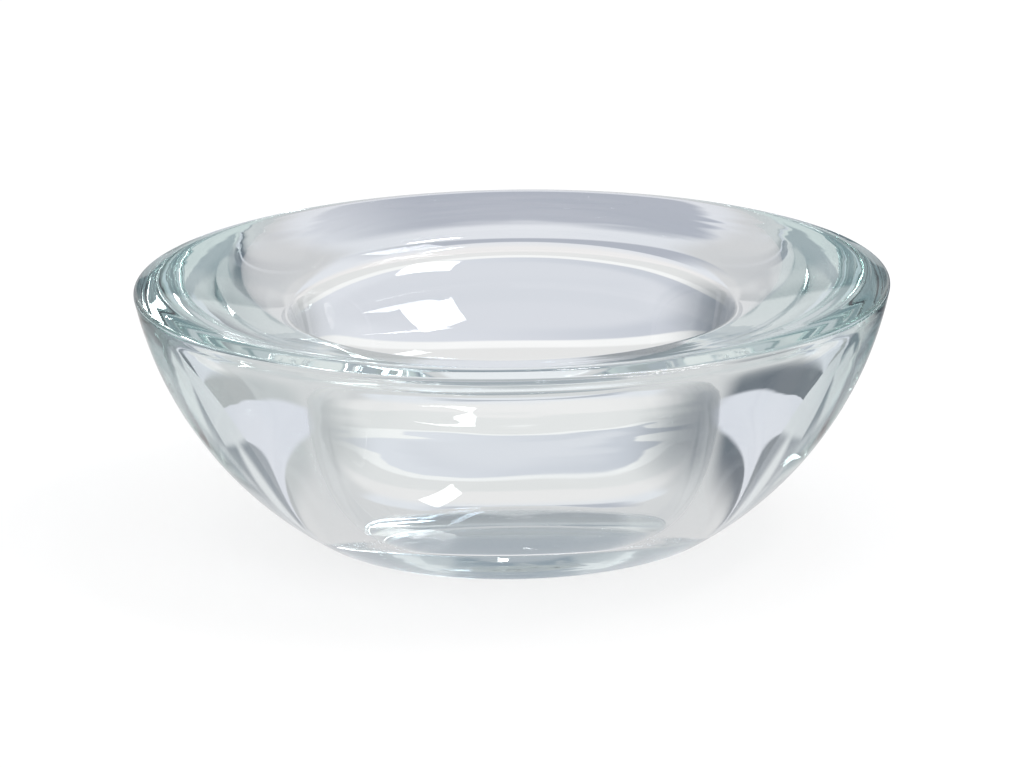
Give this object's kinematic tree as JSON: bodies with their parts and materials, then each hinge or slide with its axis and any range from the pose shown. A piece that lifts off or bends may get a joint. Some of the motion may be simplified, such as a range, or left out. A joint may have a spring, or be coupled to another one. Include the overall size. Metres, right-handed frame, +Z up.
{
  "type": "glass tealight holder",
  "caption": "Thick round bowl of clear pressed glass that swells from a small foot to a broad rim, with a deep curved well and a flat floor for a tealight.",
  "frame": {"origin": "centre of the standing ring, on the plane that the holder rests on", "axes": "+Z up along the axis of the glass; X and Y are alike, because the body is a solid of revolution"},
  "size_m": [0.0998, 0.0998, 0.0339],
  "materials": {
    "clear_glass": "polished"
  },
  "bodies": {
    "root": {"glass_holder": "clear_glass"}
  },
  "joints": []
}
